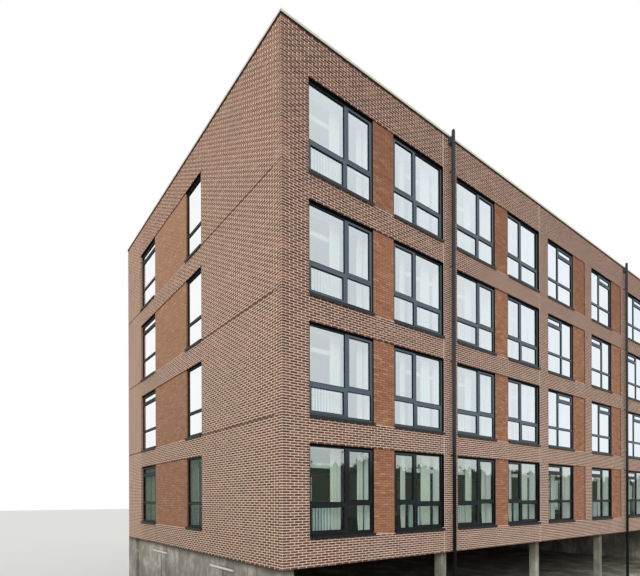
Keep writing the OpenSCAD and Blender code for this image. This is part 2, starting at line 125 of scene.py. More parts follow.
class BrickworkSettings(bpy.types.PropertyGroup):
    """Sizes and colours of the facing brick"""
    module: length("Half module", "Half a brick's pitch along the wall", 0.12)
    joint: length("Upright joint", "Width of the upright mortar joints", 0.014)
    bed: length("Bed joint", "Height of the level mortar joints", 0.0175)
    course: length("Course", "Height of a course with its bed joint", 0.0666667)
    smear: length("Smear", "How far mortar is smeared over the bricks' ends", 0.0045)
    end_smear: length("End walls' smear", "How far it is smeared in the end walls", 0.009)
    wide_smear: length("Wide smear", "How far mortar is smeared beside a long wall's movement joint", 0.014)
    # Painted shade: how far the dark along the end walls' level joints reaches
    joint_shade_reach: length("Soot", "How far the dirt reaches above and below the middle of a level joint", 0.018)
    rake: length("Raked depth", "How far the mortar lies behind the brick face", 0.006)
    end_rake: length("End walls' raked depth", "How far the end walls' mortar lies back", 0.004)
    panel_bed: length("Panel bed joint", "Height of the close level joints in the warm panels", 0.01)
    panel_rake: length("Panel raked depth", "How far the panels' mortar lies back", 0.004)
    roughness: FloatProperty(name="Roughness", description="Roughness of fired clay", default=0.88)
    brick: colour("Brick", "Middle tone of the brick", "#674135")
    dark_brick: colour("Dark brick", "Darkest bricks", "#482c23")
    pale_brick: colour("Pale brick", "Palest bricks", "#8b6453")
    # Painted light: the end walls' bricks are drawn towards this paler tone high up
    painted_light_brick: colour("Washed brick", "Tone that the end walls' bricks near, high up", "#b07c5e")
    # Painted shade along the end walls' level joints
    level_joint_shade: colour("Level joint", "Dirt along the level joints of the end walls", "#2a1e17")
    mortar: colour("Mortar", "Colour of the mortar", "#fae6d3")
    # Painted shade: the end walls' mortar is drawn towards this darker tone low down
    low_mortar: colour("Low mortar", "Mortar of the end walls, low down", "#d2bda6")
    panel: colour("Panel brick", "Middle tone of the warm panels", "#9c6d51")
    # A greyer tone that the end walls' panels are mixed towards
    weathered_panel: colour("Weathered panel", "Greyer tone in the end walls' panels", "#8a6e54")
    panel_mortar: colour("Panel mortar", "Mortar of the warm panels", "#5c3b2b")


class GlazingSettings(bpy.types.PropertyGroup):
    """Finish of frames, sills and panes"""
    frame: colour("Frame", "Powder coat of the frames", "#53606a")
    sill: colour("Sill", "Powder coat of the sills", "#232b2e")
    # Near black, so that the lining also stands in for the shade in the openings: partly a real sheet, partly
    # painted shade
    lining: colour("Lining", "Dark sheet that lines the openings", "#060708")
    gasket: colour("Gasket", "Rubber round the panes", "#0b0d0e")
    # Wider than a real gasket, so that the dark rubber also stands in for the shade in the frames' rebates:
    # painted shade
    gasket_width: length("Gasket width", "Visible width of the glazing gaskets", 0.018)
    gasket_depth: length("Gasket depth", "How far the gaskets reach out from the glass", 0.021)
    lining_lap: length("Lining lap", "How far the linings reach over the frames' faces", 0.01)
    lining_foot: length("Lining foot", "How far above the sill the jambs' linings end", 0.02)
    lining_thickness: length("Lining thickness", "Thickness of the openings' lining", 0.003)
    # The downstand is a dark sheet over the frame's head that stands in for the shade under the head: painted
    # shade
    downstand: length("Downstand", "How far the lining of a head turns down over the frame", 0.052)
    # Painted shade: the frames' colour on the ground storey and in the end walls
    painted_shade_frame: colour("Low frame", "Powder coat of the ground storey's frames, in the shade", "#0f1519")
    # Painted reflections: the panes mirror these colours in place of the sky, the ground storey's
    # surroundings and a dark hedge
    sky_reflection_tint: colour("Pale tint", "Tint that the long walls' panes give to what they mirror", "#eef6fb")
    low_reflection_tint: colour("Low tint", "Pale tint of the ground storey's panes", "#cdd7d4")
    end_reflection_tint: colour("End tint", "Tint that the end walls' panes give to what they mirror", "#fdfdfc")
    hedge_reflection_tint: colour("Dark tint", "Tint of the ground storey's panes, low down", "#5f675b")
    mirror: FloatProperty(
        name="Mirror", description="Least share that the panes mirror", min=0, max=1, default=0.38)
    fold: length("Fold", "Half the pitch of the curtains' folds", 0.06)
    fold_depth: length("Fold depth", "How deep the folds are gathered", 0.035)
    curtain_off: length("Curtain depth", "How far in front of the wall's inner face the curtains hang", 0.07)
    curtain_foot: length("Curtain foot", "Height of the curtains' hems above the floor", 0.205)
    net_top: length("Net rail", "Height of the net curtains' rail above the floor", 1.15)
    low_net_top: length("Low net rail", "Height of the net curtains' rail on the ground storey", 1.06)
    cream_top: length("Cream rail", "Height of the cream curtains' rail above the floor", 2.5)
    pelmet_foot: length("Pelmet", "Height of the pelmet board above the floor", 2.0)
    pelmet_height: length("Pelmet height", "Height of the pelmet board", 0.13)
    pelmet_depth: length("Pelmet depth", "Thickness of the pelmet board", 0.06)
    pelmet_lap: length("Pelmet lap", "How far the board passes the window's edge", 0.1)
    rail_height: length("Rail height", "Height of the curtain rails", 0.025)
    rail_edge: length("Rail edge", "How far the rails reach past the folds, front and back", 0.02)
    rail_lap: length("Rail lap", "How far the curtains' heads reach up into their rails", 0.005)
    sheer: colour("Sheer", "Gathered net curtains", "#f2f3f0")
    stripe: colour("Stripe", "Open stripes of the net curtains", "#8d979b")
    cream: colour("Cream", "Cream curtains", "#f2eedd")
    rail: colour("Rail", "White lacquer of the curtain rails", "#efefea")


class StructureSettings(bpy.types.PropertyGroup):
    """Finish of concrete, roof and metalwork"""
    concrete: colour("Concrete", "Middle tone of the concrete", "#827e74")
    membrane: colour("Membrane", "Roofing felt", "#4a4d50")
    coping: colour("Coping", "Sheet metal of the coping", "#cbc5b6")
    pipe: colour("Downpipe", "Sheet metal of the downpipes", "#34393c")
    sealant: colour("Sealant", "Sanded sealant of the upright movement joints", "#e3cdb8")
    corner_sealant: colour("Corner sealant", "Sanded sealant of the end walls' upright joints", "#c4ab96")
    slot: colour("Slot", "Dark sealant of the level joints in the end walls", "#4a3a30")
    # Painted shadow: the dark strip stands in for the shadow of the coping's lip on the brick
    shadow_strip_height: length("Trim height", "Height of the dark strip below the coping", 0.04)
    felt_width: length("Felt width", "Width of a roll of roofing felt", 1.0)
    felt_lap: length("Felt lap", "How far one roll of felt laps over the next", 0.1)
    felt_thickness: length("Felt thickness", "Thickness of the top layer of felt", 0.004)
    upstand: length("Upstand", "Thickness of the felt turned up behind the parapet", 0.006)
    upstand_gap: length("Upstand gap", "How far below the coping's top the upstand ends", 0.03)
    formwork_width: length("Formwork width", "Width of a formwork panel", 1.2)
    formwork_seam: length("Formwork seam", "Width of the ridge that two formwork panels leave", 0.012)


class StageSettings(bpy.types.PropertyGroup):
    """Camera, lamps and floor"""
    lens: FloatProperty(name="Lens", description="Focal length on a 36 mm wide frame", default=25.663)
    camera_place: FloatVectorProperty(
        name="Camera", description="Where the camera stands", subtype="TRANSLATION",
        default=(-21.0395, -15.5751, 4.1692))
    camera_heading: FloatProperty(
        name="Heading", description="Heading from +X", subtype="ANGLE", default=0.9459)
    camera_roll: FloatProperty(
        name="Roll", description="Turn about the view axis", subtype="ANGLE", default=math.radians(-0.2))
    shift: FloatVectorProperty(name="Shift", description="Lens shift", size=2, default=(0.03445, 0.33))
    floor: colour("Floor", "Pale studio floor", "#d9d9d6")
    sun: FloatProperty(name="Key lamp", description="Strength of the key lamp", default=1.9)
    sun_angle: FloatProperty(
        name="Lamp width", description="How wide the key lamp looks", subtype="ANGLE",
        default=math.radians(40))
    sun_course: FloatVectorProperty(
        name="Lamp course", description="Which way the key lamp shines", subtype="DIRECTION",
        default=(0.7, 0.5, -0.45))
    fill: FloatProperty(name="Fill", description="Strength of the soft light all round", default=0.74)
    floor_size: length("Floor size", "Width of the studio floor", 400)


SETTINGS = {
    "block_brickwork": BrickworkSettings,
    "block_glazing": GlazingSettings,
    "block_structure": StructureSettings,
    "block_stage": StageSettings,
}


def settings(name):
    return getattr(bpy.context.scene, name)


# Selecting and modelling

def deselect():
    for item in bpy.context.view_layer.objects.selected:
        item.select_set(False)


def choose(objects):
    """Selects only these objects and makes the first one active."""
    deselect()
    for item in objects:
        item.select_set(True)
    bpy.context.view_layer.objects.active = objects[0]


def edit_mode():
    bpy.ops.object.mode_set(mode="EDIT")


def object_mode():
    bpy.ops.object.mode_set(mode="OBJECT")


def select_where(piece, kind, wanted):
    """Selects the vertices or faces of a piece for which wanted is true, and leaves it in edit mode."""
    choose([piece])
    edit_mode()
    bpy.ops.mesh.select_mode(type=kind)
    bpy.ops.mesh.select_all(action="DESELECT")
    object_mode()
    for item in piece.data.vertices if kind == "VERT" else piece.data.polygons:
        item.select = wanted(item)
    edit_mode()


def box_piece(name, low, high):
    """A box between two corners, as a mesh of its own with its object at the origin."""
    deselect()
    low, high = Vector(low), Vector(high)
    bpy.ops.mesh.primitive_cube_add(size=1, location=(low + high) / 2, scale=high - low)
    piece = bpy.context.object
    piece.name = piece.data.name = name
    bpy.ops.object.transform_apply(location=True, rotation=True, scale=True)
    return piece


def joined(name, pieces):
    """Joins pieces into one, with its object at the origin."""
    choose(pieces)
    if len(pieces) > 1:
        bpy.ops.object.join()
    piece = bpy.context.object
    piece.name = piece.data.name = name
    bpy.ops.object.transform_apply(location=True, rotation=True, scale=True)
    return piece


def copied(piece, name=None):
    """A copy of a piece with its own mesh."""
    twin = piece.copy()
    twin.data = piece.data.copy()
    bpy.context.collection.objects.link(twin)
    if name:
        twin.name = twin.data.name = name
    return twin


def turned_round(piece, name):
    """A copy of a piece turned half round the middle of the plan."""
    twin = copied(piece, name)
    choose([twin])
    twin.rotation_euler.z = math.pi
    bpy.ops.object.transform_apply(location=True, rotation=True, scale=True)
    return twin


def repeated(piece, step, count):
    """Applies an array with a constant step to the active piece."""
    if count < 2:
        return
    array = piece.modifiers.new("Array", "ARRAY")
    array.use_relative_offset = False
    array.use_constant_offset = True
    array.constant_offset_displace = step
    array.count = count
    bpy.ops.object.modifier_apply(modifier=array.name)


def finish(piece, material, replaces=()):
    """Gives a finished piece its material and sets it on the body."""
    piece.data.materials.clear()
    piece.data.materials.append(material)
    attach(piece, BODY)
    if replaces:
        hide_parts(*replaces)


def on_both_walls(piece, material, replaces=()):
    """Finishes a piece and its copy on the opposite wall, each in place of nodes of its own wall."""
    side, kind = piece.name.split("_", 1)
    other = OPPOSITE[side]
    for wall, item in ((other, turned_round(piece, f"{other}_{kind}")), (side, piece)):
        finish(item, material, [f"{wall}_{node_kind}" for node_kind in replaces])


def paint(material, *names):
    """Gives CAD nodes a material."""
    for name in names:
        slots = frame["nodes"][name].data.materials
        slots.clear()
        slots.append(material)


def solids(node):
    """Lowest and highest corners of each separate solid of a CAD node."""
    mesh = frame["nodes"][node].data
    places = np.array([v.co for v in mesh.vertices]).reshape(-1, 3)
    keys = np.round(places / (0.1 * MM)).astype(np.int64)
    _, same = np.unique(keys, axis=0, return_inverse=True)
    same = same.reshape(-1)
    mesh.calc_loop_triangles()
    corners = same[np.array([t.vertices[:] for t in mesh.loop_triangles])]
    group = np.arange(same.max() + 1)
    while True:
        least = group[corners].min(axis=1)
        before = group.copy()
        for k in range(3):
            np.minimum.at(group, corners[:, k], least)
        group = group[group]
        if (group == before).all():
            break
    owner = group[same]
    found = []
    for key in np.unique(owner):
        own = places[owner == key]
        found.append((Vector(own.min(axis=0)), Vector(own.max(axis=0))))
    return sorted(found, key=lambda b: (round(b[0].x, 3), round(b[0].y, 3), round(b[0].z, 3)))


class Wall:
    """The front or left wall, drawn along and inwards from its near corner. The back and right walls are
    these two turned round."""

    def __init__(self, side, axis, extent):
        self.side, self.axis, self.extent = side, axis, extent
        self.along, self.inward = Vector((1 - axis, axis, 0)), Vector((axis, 1 - axis, 0))
        self.start = Vector((-HALF_LENGTH, -HALF_WIDTH, 0))
        # Turns a plane so that its X lies along the wall and its Y upwards
        self.turn = (math.pi / 2, 0, -math.pi / 2 * axis)

    def point(self, u, depth, z):
        return self.start + self.along * u + self.inward * depth + Vector((0, 0, z))

    def box(self, name, u, depth, z):
        """A box piece from pairs of measures along, inwards and up."""
        return box_piece(name, self.point(u[0], depth[0], z[0]), self.point(u[1], depth[1], z[1]))

    def solids(self, node):
        """The solids of a CAD node, each as pairs of measures along, inwards and up."""
        axes = (self.along, self.inward, Vector((0, 0, 1)))
        return [[tuple((corner - self.start).dot(axis) for corner in bounds) for axis in axes]
                for bounds in solids(node)]


LONG, END = WALLS = Wall("front", 0, 2 * HALF_LENGTH), Wall("left", 1, 2 * HALF_WIDTH)


def open_backed(piece, wall):
    """Takes away a brick's back face, which nothing shows."""
    select_where(piece, "FACE", lambda face: face.normal.dot(wall.inward) > 0.9)
    bpy.ops.mesh.delete(type="ONLY_FACE")
    object_mode()


class Bond:
    """Lays courses of half-bonded bricks on a wall."""

    def __init__(self, wall, face, bed, depth):
        kit = settings("block_brickwork")
        self.wall, self.module, self.course = wall, kit.module, kit.course
        self.bricks = {}
        tall = kit.course - bed
        for halves in (1, 2):
            wide = halves * kit.module - kit.joint
            brick = wall.box("brick", (0, wide), (face, depth), (BRICK_FOOT, BRICK_FOOT + tall))
            open_backed(brick, wall)
            self.bricks[halves] = brick
        self.laid = []

    def run(self, halves, start, count, course, rows, storeys, storey_step):
        """Lays count bricks from a half-module on, in every second course, in each storey."""
        brick = copied(self.bricks[halves])
        brick.location = self.wall.along * (start * self.module) + Vector((0, 0, course * self.course))
        choose([brick])
        repeated(brick, self.wall.along * (2 * self.module), count)
        repeated(brick, (0, 0, 2 * self.course), rows)
        repeated(brick, (0, 0, storey_step), storeys)
        self.laid.append(brick)

    def field(self, first, last, foot, tall, storeys, storey_step, trims=((0, 0), (0, 0))):
        """Fills half-modules first to last. A trim leaves out half-modules at the two ends of each kind of
        course."""
        course = round((foot - BRICK_FOOT) / self.course)
        rows = round(tall / self.course)
        for row in range(min(2, rows)):
            parity = (course + row) % 2
            a, b = first + trims[parity][0], last - trims[parity][1]
            lead = (a - parity - self.wall.axis) % 2
            pairs, rest = divmod(b - a - lead, 2)
            repeats = (rows - row + 1) // 2
            where = (course + row, repeats, storeys, storey_step)
            if lead:
                self.run(1, a, 1, *where)
            if pairs:
                self.run(2, a + lead, pairs, *where)
            if rest:
                self.run(1, b - 1, 1, *where)

    def done(self, name):
        for brick in self.bricks.values():
            bpy.data.objects.remove(brick)
        return joined(name, self.laid)


def half_module(u):
    return round(u / settings("block_brickwork").module)


def columns(wall, node):
    """Solids of a node that stand above each other, as (start, end, lowest foot, height, count, step)."""
    stacks = {}
    for u, _, z in wall.solids(node):
        stacks.setdefault((round(u[0], 3), round(u[1], 3)), []).append(z)
    found = []
    for (start, end), heights in sorted(stacks.items()):
        heights.sort()
        step = heights[1][0] - heights[0][0] if len(heights) > 1 else 0.0
        found.append((start, end, heights[0][0], heights[0][1] - heights[0][0], len(heights), step))
    return found


def openings(wall):
    """Where a wall's window openings begin and end along it."""
    return [column[:2] for column in columns(wall, wall.side + "_windows")]


def joint_places(wall):
    """Distances along a wall of its upright movement joints' far sides. In an end wall, a level joint joins
    one."""
    places = set()
    for u, depth, z in wall.solids("movement_joints"):
        in_leaf = 0 < depth[0] and depth[1] < LEAF
        if in_leaf and z[1] - z[0] > u[1] - u[0]:
            places.add(round(u[0] + settings("block_brickwork").joint, 3))
    return sorted(places)


# Materials

def node(tree, kind, *values, stops=(), out=0, **named):
    """Adds a node with its colour stops and gives one of its outputs. A kind in small letters is a maths
    operation. Values fill or link the node's first inputs, a name with a capital the input of that name, and
    any other name is one of its options."""
    if kind.islower():
        kind, named = "Math", {"operation": kind.upper(), **named}
    made = tree.nodes.new("ShaderNode" + kind)
    inputs = dict(enumerate(values))
    for key, value in named.items():
        if key[0].isupper():
            inputs[key.replace("_", " ")] = value
        else:
            setattr(made, key, value)
    for key, value in inputs.items():
        socket = made.inputs[key]
        if isinstance(value, bpy.types.NodeSocket):
            tree.links.new(value, socket)
        elif value is not None:
            socket.default_value = (*value, 1.0) if socket.type == "RGBA" else value
    if stops:
        band = made.color_ramp
        while len(band.elements) < len(stops):
            band.elements.new(0.5)
        for element, (position, shade) in zip(band.elements, stops):
            element.position, element.color = position, (*shade, 1.0)
    return made.outputs[out] if made.outputs else None


def scale_for(size):
    """The Scale of a pattern whose features have this size in millimetres."""
    return 1 / (size * MM)


def fresh_material(name):
    """An empty material, its tree, and the shaded point's place as a vector and as three numbers."""
    material = bpy.data.materials.new(name)
    material.use_nodes = True
    tree = material.node_tree
    tree.nodes.clear()
    place = node(tree, "TexCoord", out="Object")
    parts = node(tree, "SeparateXYZ", place).node.outputs
    return material, tree, place, parts


def mixed_towards(tree, tone, mask, share, shade):
    """A tone mixed towards another shade, as strong as a share of its mask: it draws stains, and also painted
    light and painted shade.
    """
    share = node(tree, "multiply", mask, share)
    return node(tree, "Mix", share, *[None] * 5, tone, shade, out=2, data_type="RGBA")


def clouded(tree, place, tone, size, share, shade, detail=2):
    """A tone with soft clouds of another shade, whose size is in millimetres."""
    clouds = node(tree, "TexNoise", place, Scale=scale_for(size), Detail=detail)
    return mixed_towards(tree, tone, clouds, share, shade)


def surfaced(material, tone, relief, depth, **values):
    """Ends a material with its colour, its relief as bump of a depth in millimetres, and values such as its
    Roughness."""
    tree = material.node_tree
    bump = node(tree, "Bump", Height=relief, Distance=depth * MM)
    node(tree, "OutputMaterial", node(tree, "BsdfPrincipled", tone, Normal=bump, **values))
    return material


def brick_cells(tree, parts, axis):
    """A random value for each brick, from its place along the wall and its course, and how far the middle of
    the next upright joint is."""
    kit = settings("block_brickwork")
    # An even number of half modules more keeps the smear at a corner in the count
    start = 40 * kit.module + (HALF_LENGTH, HALF_WIDTH)[axis] + kit.joint / 2
    along = node(tree, "multiply_add", parts[axis], 1 / kit.module, start / kit.module)
    foot = kit.joint / 2 - BRICK_FOOT
    up = node(tree, "multiply_add", parts[2], 1 / kit.course, foot / kit.course)
    course = node(tree, "floor", up)
    parity = node(tree, "modulo", course, 2.0)
    if axis == 1:
        parity = node(tree, "subtract", 1.0, parity)
    halves = node(tree, "subtract", along, parity)
    bricks = node(tree, "multiply", halves, 0.5)
    cell = node(tree, "floor", bricks)
    share = node(tree, "pingpong", bricks, 0.5)
    to_joint = node(tree, "multiply", share, 2 * kit.module)
    side = node(tree, "greater_than", parts[1 - axis], 0.0)
    key = node(tree, "CombineXYZ", cell, course, side)
    return node(tree, "TexWhiteNoise", key, noise_dimensions="3D"), to_joint


def from_middle(tree, parts, axis):
    """How far along a long (0) or an end wall (1) a place is from the middle, towards its near corner."""
    side = node(tree, "sign", parts[1 - axis])
    return node(tree, "multiply", side, parts[axis])


def near_one(tree, value, places, reach):
    """1 where a value is within reach of one of these places, and 0 elsewhere."""
    found = 0.0
    for place in places:
        near = node(tree, "compare", value, place, reach)
        found = node(tree, "maximum", found, near)
    return found


def beside_upright_joint(tree, parts):
    """1 on the bricks' ends beside the long walls' movement joints, and 0 elsewhere."""
    kit = settings("block_brickwork")
    middles = [HALF_LENGTH - far + kit.joint / 2 for far in joint_places(LONG)]
    return near_one(tree, from_middle(tree, parts, 0), middles, kit.joint / 2 + kit.wide_smear)


def beside_level_joint(tree, parts):
    """1 along the end walls' level movement joints, and 0 elsewhere."""
    heights = set()
    for u, _, z in END.solids("movement_joints"):
        if u[1] - u[0] > z[1] - z[0]:
            heights.add(round(sum(z) / 2, 4))
    return near_one(tree, parts[2], sorted(heights), settings("block_brickwork").joint_shade_reach)


def end_wall_light_and_shade(tree, parts, tone, pale, painted_light, painted_shade):
    """An end wall's tone with painted shade low down, painted light higher up, and more painted light before
    the far corner.
    """
    high = node(tree, "MapRange", parts[2], BRICK_FOOT + END_LIGHT_FOOT, BRICK_TOP)
    low = node(tree, "MapRange", parts[2], BRICK_FOOT + END_SHADE_TOP, BRICK_FOOT)
    along = from_middle(tree, parts, 1)
    far = node(tree, "MapRange", along, FAR_CORNER_LIGHT_START - HALF_WIDTH, FAR_CORNER_LIGHT_END - HALF_WIDTH)
    # Painted light high up, painted shade low down, and painted light before the far corner
    tone = mixed_towards(tree, tone, high, painted_light, pale)
    tone = mixed_towards(tree, tone, low, painted_shade, hex_rgb("#3b2a20"))
    return mixed_towards(tree, tone, far, 0.26, hex_rgb("#b08a73"))


def far_along(tree, parts):
    """0 at a long wall's near end and 1 over its farther part."""
    along = from_middle(tree, parts, 0)
    return node(tree, "MapRange", along, HALF_LENGTH - FAR_LIGHT_START, HALF_LENGTH - FAR_LIGHT_END)


def facing_brick(axis):
    """Fired clay, moulded in sand: matt, gritty, and of a slightly different tone from brick to brick."""
    kit = settings("block_brickwork")
    material, tree, place, parts = fresh_material("sand_moulded_brick_" + "xy"[axis])
    each, to_joint = brick_cells(tree, parts, axis)
    tone = node(tree, "ValToRGB", each, stops=[
        (0.0, kit.dark_brick), (0.3, hex_rgb("#5a382c")), (0.55, kit.brick),
        (0.85, hex_rgb("#744b3d")), (1.0, kit.pale_brick)])
    tone = clouded(tree, place, tone, 1600, 0.14, hex_rgb("#9a7a64"))
    tone = clouded(tree, place, tone, 45, 0.3, hex_rgb("#4d352b"), 4)
    reach = kit.joint / 2 + (kit.smear, kit.end_smear)[axis]
    smeared = node(tree, "less_than", to_joint, reach)
    if axis == 0:
        smeared = node(tree, "maximum", smeared, beside_upright_joint(tree, parts))
        # Painted light: a long wall is drawn paler over its farther part
        tone = mixed_towards(tree, tone, far_along(tree, parts), 0.15, hex_rgb("#b39684"))
    else:
        # Painted shade low down, and painted light high up and before the far corner
        tone = end_wall_light_and_shade(tree, parts, tone, kit.painted_light_brick, 0.21, 0.3)
    outward = node(tree, "SeparateXYZ", node(tree, "NewGeometry", out="True Normal"), out=1 - axis)
    facing = node(tree, "absolute", outward)
    facing = node(tree, "greater_than", facing, 0.5)
    smeared = node(tree, "multiply", smeared, facing)
    tone = mixed_towards(tree, tone, smeared, 0.75, kit.mortar)
    if axis == 1:
        # Painted shade along the end walls' level movement joints
        tone = mixed_towards(tree, tone, beside_level_joint(tree, parts), 0.85, kit.level_joint_shade)
    # Sand grains of 1 to 2 mm, drawn at 6 mm so that they show
    grit = node(tree, "TexNoise", place, Scale=scale_for(6), Detail=3)
    return surfaced(material, tone, grit, 1.5, Roughness=kit.roughness, Specular_IOR_Level=0.25)


def panel_brick(axis):
    """Smooth orange clay laid with close joints: each brick is a shade apart from the next, and the top
    storey of the long walls is painted darker and browner, as painted shade."""
    kit = settings("block_brickwork")
    material, tree, place, parts = fresh_material("orange_clay_brick_" + "xy"[axis])
    each, _ = brick_cells(tree, parts, axis)
    tone = node(tree, "ValToRGB", each, stops=[
        (0.0, hex_rgb("#8d5e45")), (0.3, kit.panel),
        (0.8, hex_rgb("#a27358")), (1.0, hex_rgb("#b38669"))])
    tone = clouded(tree, place, tone, 500, 0.16, hex_rgb("#84573f"), 3)
    if axis == 0:
        # Painted shade: the long walls' top storey is drawn darker
        top_storey_shade = node(tree, "MapRange", parts[2], FLOORS[3] - 1, FLOORS[3] + 1)
        tone = mixed_towards(tree, tone, top_storey_shade, 0.3, hex_rgb("#5c3f30"))
    else:
        # The end walls' panels are mixed a little greyer
        tone = mixed_towards(tree, tone, 1.0, 0.3, kit.weathered_panel)
        # Painted shade low down, and painted light high up and before the far corner
        tone = end_wall_light_and_shade(tree, parts, tone, hex_rgb("#d9b795"), 0.16, 0.24)
    # Grains of 1 to 2 mm, drawn at 6 mm so that they show
    grit = node(tree, "TexNoise", place, Scale=scale_for(6))
    return surfaced(material, tone, grit, 1, Roughness=0.82, Specular_IOR_Level=0.3)


def mortar_material(name, shade, dark, painted_low_shade=None):
    """Sand and lime mortar: pale, matt and grainy, with damp and dusty patches. In an end wall it is painted
    darker low down, as painted shade."""
    material, tree, place, parts = fresh_material(name)
    if painted_low_shade:
        # Painted shade: darker low down
        low = node(tree, "MapRange", parts[2], BRICK_FOOT + MORTAR_SHADE_TOP, BRICK_FOOT + MORTAR_SHADE_FOOT)
        shade = mixed_towards(tree, shade, low, 1.0, painted_low_shade)
    tone = clouded(tree, place, shade, 350, 0.5, dark, 4)
    # Grains of 1 to 2 mm, drawn at 3 mm
    sand = node(tree, "TexNoise", place, Scale=scale_for(3))
    return surfaced(material, tone, sand, 1, Roughness=0.95, Specular_IOR_Level=0.15)


def concrete_material(name, shade, pale, dark):
    """Fair-faced concrete cast against boards: cloudy greys, pour marks, streaks and small blowholes, and a
    painted shadow just below the overhanging brick."""
    kit = settings("block_structure")
    material, tree, place, parts = fresh_material(name)
    clouds = node(tree, "TexNoise", place, Scale=scale_for(1100), Detail=6, Roughness=0.65)
    tone = node(tree, "ValToRGB", clouds, stops=[(0.36, dark), (0.5, shade), (0.64, pale)])
    # Streaks 110 mm wide and 1.4 m tall
    upright = node(tree, "Mapping", place, Scale=(9.0, 9.0, 0.7))
    streaks = node(tree, "TexNoise", upright, Scale=1.0, Detail=4)
    streaks = node(tree, "MapRange", streaks, 0.5, 0.72)
    tone = mixed_towards(tree, tone, streaks, 0.65, hex_rgb("#4f4a40"))
    # Painted shadow of the overhanging brick, just below it
    damp = node(tree, "MapRange", parts[2], BRICK_FOOT + OVERHANG_SHADOW_FOOT, BRICK_FOOT + OVERHANG_SHADOW_TOP)
    tone = mixed_towards(tree, tone, damp, 0.85, hex_rgb("#37332b"))
    across = node(tree, "add", parts[0], parts[1])
    to_seam = node(tree, "pingpong", across, kit.formwork_width / 2)
    seam = node(tree, "less_than", to_seam, kit.formwork_seam / 2)
    # Blowholes of 5 to 10 mm, drawn at 20 mm so that they show
    holes = node(tree, "TexNoise", place, Scale=scale_for(20), Detail=5)
    seam_relief = -0.8
    relief = node(tree, "multiply_add", seam, seam_relief, holes)
    return surfaced(material, tone, relief, 4, Roughness=0.8, Specular_IOR_Level=0.3)


def plaster_material():
    """Painted plaster: white with a roller's fine stipple."""
    material, tree, place, _ = fresh_material("painted_plaster")
    tone = clouded(tree, place, hex_rgb("#efede8"), 800, 0.3, hex_rgb("#dedbd4"), 3)
    stipple = node(tree, "TexNoise", place, Scale=scale_for(2))
    return surfaced(material, tone, stipple, 0.3, Roughness=0.7)


def powder_coat(name, shade, roughness=0.42, dusty=0.1, painted_low_shade=None, gloss=0.5):
    """Powder-coated aluminium: satin, with the faint orange peel of baked powder. It may be painted darker on
    the ground storey and in the end walls, as painted shade where they get less light."""
    material, tree, place, parts = fresh_material(name)
    if painted_low_shade:
        # Painted shade on the ground storey and in the end walls
        low = node(tree, "MapRange", parts[2], GROUND_SILL + SHADE_TOP, GROUND_SILL + SHADE_FOOT)
        inward = node(tree, "absolute", parts[1])
        end = node(tree, "less_than", inward, HALF_WIDTH - INNER_FACE)
        dark = node(tree, "maximum", low, end)
        shade = mixed_towards(tree, shade, dark, 1.0, painted_low_shade)
    tone = clouded(tree, place, shade, 600, dusty, hex_rgb("#757c80"), 4)
    # Orange peel of 1 to 2 mm, drawn at 4 mm
    peel = node(tree, "TexNoise", place, Scale=scale_for(4), Detail=1)
    return surfaced(material, tone, peel, 0.6, Roughness=roughness, Specular_IOR_Level=gloss)


def rubber_material(name, shade):
    """Moulded rubber or bitumen felt: matt and even, with a little dust."""
    material, tree, place, _ = fresh_material(name)
    tone = clouded(tree, place, shade, 50, 0.08, hex_rgb("#5d5a56"), 3)
    # Granules and dust of 1 to 2 mm, drawn at 4 mm
    grain = node(tree, "TexNoise", place, Scale=scale_for(4), Detail=3)
    return surfaced(material, tone, grain, 0.5, Roughness=0.75, Specular_IOR_Level=0.1)


def sealant_material(pale, plain, dark):
    """Sanded sealant: paler than the mortar in the long walls, plain at the corners, and dark in the level
    joints of the end walls."""
    material, tree, place, parts = fresh_material("sanded_sealant")
    corner = HALF_WIDTH - joint_places(END)[0] - MM
    beside_corner = node(tree, "greater_than", from_middle(tree, parts, 1), corner)
    inward = node(tree, "absolute", parts[1])
    on_long_wall = node(tree, "greater_than", inward, HALF_WIDTH - LEAF / 2)
    tone = mixed_towards(tree, dark, on_long_wall, 1.0, pale)
    tone = mixed_towards(tree, tone, beside_corner, 1.0, plain)
    tone = clouded(tree, place, tone, 50, 0.15, hex_rgb("#8d7b6c"), 3)
    # Sand of 1 to 2 mm, drawn at 4 mm
    grain = node(tree, "TexNoise", place, Scale=scale_for(4), Detail=3)
    return surfaced(material, tone, grain, 0.5, Roughness=0.8)


